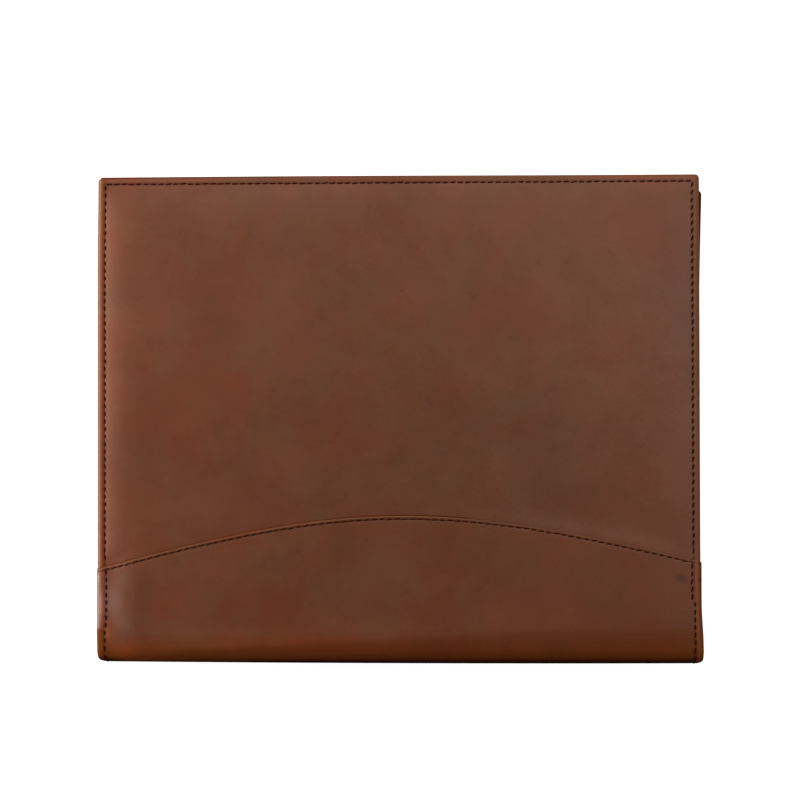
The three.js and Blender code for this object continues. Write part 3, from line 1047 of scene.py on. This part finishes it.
def lining_material():
    """Matte black cloth in a plain weave."""
    n = Nodes("black_lining")
    place = n.coords()
    yarns = {"Vector": place, "Scale": 330.0}
    warp, weft = (n.add("TexWave", yarns, bands_direction=way).outputs["Fac"] for way in "XY")
    weave = n.math("MULTIPLY", warp, weft)
    colour = n.mix(weave, linear(5, 5, 5), linear(16, 15, 15))
    n.put(n.shader, {"Base Color": colour, "Roughness": 0.95, "Normal": n.bump(weave, 0.4, 0.0002)})
    n.put(n.shader, {"Specular IOR Level": 0.08})
    return n.material


def floor_material():
    """Plain white board."""
    n = Nodes("pale_floor")
    grain = n.noise(n.coords(), 30.0, 4.0)
    colour = n.mix(grain, linear(148, 148, 148), linear(152, 152, 152))
    n.put(n.shader, {"Base Color": colour, "Roughness": 0.9, "Specular IOR Level": 0.1})
    n.put(n.shader, {"Emission Color": (1.0, 1.0, 1.0, 1.0), "Emission Strength": 0.92})
    return n.material


# Pieces

def dress(piece, materials, slot, *nodes):
    for material in materials:
        piece.data.materials.append(material)
    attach(piece, "root")
    if nodes:
        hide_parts(*nodes)


FRONT_OFFSET = (0.0, 0.0, 0.0)
PANEL_OFFSET = (1.7, 0.4, 0.9)
GLOSS = 0.32  # of the leather where it isn't rubbed
SHINES = [GLOSS * (1 - number / DULL) for number in range(DULL + 1)]
cover_leather = [
    leather_material(f"cover_leather_{number}", FRONT_OFFSET, 1.0, FRONT_MARKS_AND_LIGHT, [], shine)
    for number, shine in enumerate(SHINES)
]
panel_leather = [
    leather_material(f"spine_leather_{number}", PANEL_OFFSET, PANEL_SHADE, PANEL_MARKS_AND_LIGHT, PANEL_SHEEN, shine)
    for number, shine in enumerate(SHINES)
]
thread = [thread_material()]
lining_cloth = [lining_material()]

front = cover_sheet("front_leather", FRONT_EDGE, front_level, sign=1, count=750, step=6, rows=480)
back = cover_sheet("back_leather", BACK_EDGE, back_level, sign=-1, count=400, step=8, rows=240)
spine = spine_sheet("spine_leather", count=750, step=6)
lining = lining_sheet("lining_cloth", count=80, step=4)
dress(front, cover_leather, "leather", "front_cover")
dress(back, cover_leather, "leather", "back_cover")
dress(spine, panel_leather, "spine_leather", "spine_panel")
dress(lining, lining_cloth, "lining", "lining")
stitching = {
    "front_stitches": cover_stitches(FRONT_EDGE, front_level, 1),
    "back_stitches": cover_stitches(BACK_EDGE, back_level, -1),
    "spine_stitches": panel_side_stitches(),
    "front_seam_stitches": seam_stitches(1),
    "back_seam_stitches": seam_stitches(-1),
}
for name, places in stitching.items():
    dress(stitch_mesh(name, places), thread, "spine_leather")


# Stage, light and camera

# In metres: half the floor's flat part, half of all of it, its drop below the folder and its rim's height
FLOOR_FLAT = 17.0
FLOOR_REACH = 20.0
FLOOR_DROP = 0.0003
FLOOR_RIM = 1.0


def floor():
    """A flat white floor whose far rim rises, so that it also fills the view from low down."""
    corners = np.array([(-1, -1), (1, -1), (1, 1), (-1, 1)])
    flat = np.column_stack([corners * FLOOR_FLAT, np.full(4, -FLOOR_DROP)])
    rim = np.column_stack([corners * FLOOR_REACH, np.full(4, FLOOR_RIM)])
    sides = [[k, k + 4, (k + 1) % 4 + 4, (k + 1) % 4] for k in range(4)]
    piece = new_piece("floor", np.concatenate([flat, rim]), [[0, 1, 2, 3], *sides])
    piece.data.materials.append(floor_material())


def area_light(name, place, power, size, colour, soft=True, shine=True):
    """A light of a width and height, aimed at the folder; its soft light or its shine can be left out."""
    light = bpy.data.lights.new(name, "AREA")
    light.shape = "RECTANGLE"
    light.energy = power
    light.size, light.size_y = size
    light.color = colour
    lamp = bpy.data.objects.new(name, light)
    lamp.location = place
    lamp.visible_diffuse = soft
    lamp.visible_glossy = shine
    aim = -lamp.location
    lamp.rotation_euler = aim.to_track_quat("-Z", "Y").to_euler()
    bpy.context.scene.collection.objects.link(lamp)


def world_light(strength):
    world = bpy.data.worlds.new("studio")
    world.use_nodes = True
    background = world.node_tree.nodes["Background"]
    background.inputs["Color"].default_value = (1.0, 0.96, 0.92, 1.0)
    background.inputs["Strength"].default_value = strength
    bpy.context.scene.world = world


# Camera, fitted to the folder's outline in the photograph
CAMERA_FROM_MIDDLE = (43.3, 26.0, 1000.0)  # mm from the folded outline's middle, and above the rest plane
CAMERA_TILT = (math.radians(0.887), math.radians(-2.425), math.radians(0.144))
FOCAL_PIXELS = 1867.7
PHOTO_PIXELS = 800
SENSOR = 36.0


def camera():
    data = bpy.data.cameras.new("camera")
    data.sensor_width = SENSOR
    data.lens = FOCAL_PIXELS * SENSOR / PHOTO_PIXELS
    eye = bpy.data.objects.new("camera", data)
    tilt_x, tilt_y, tilt_z = CAMERA_TILT
    turn = Matrix.Rotation(tilt_z, 4, "Z") @ Matrix.Rotation(tilt_y, 4, "Y") @ Matrix.Rotation(tilt_x, 4, "X")
    across, along, above = CAMERA_FROM_MIDDLE
    middle_y = FOLD_Y + FOLDED_DEPTH / 2 * MM
    place = Matrix.Translation((MIDDLE_X + across * MM, middle_y + along * MM, above * MM))
    eye.matrix_world = place @ turn.transposed()
    bpy.context.scene.collection.objects.link(eye)
    bpy.context.scene.camera = eye


floor()
world_light(0.08)
area_light("window", (-0.75, 0.12, 0.17), 14.2, (0.9, 0.28), (1.0, 0.96, 0.9), shine=False)
area_light("left strip", (-0.75, 0.02, 0.009), 8.0, (0.9, 0.016), (1.0, 0.93, 0.86), soft=False)
area_light("left sheen", (-0.82, 0.1, 0.74), 3.8, (1.0, 0.6), (1.0, 0.98, 0.98), soft=False)
area_light("top", (-0.15, 0.6, 0.5), 3.3, (1.2, 0.7), (1.0, 0.95, 0.88))
area_light("overhead", (0.45, 0.75, 1.15), 6.5, (1.2, 1.2), (1.0, 0.93, 0.84))
area_light("right overhead", (0.5, 0.2, 1.0), 2.75, (0.5, 0.5), (1.0, 0.95, 0.87))
area_light("fill", (0.85, 0.1, 0.42), 2.4, (0.8, 0.6), (0.94, 0.97, 1.0), shine=False)
camera()
bpy.context.scene.view_settings.view_transform = "Standard"
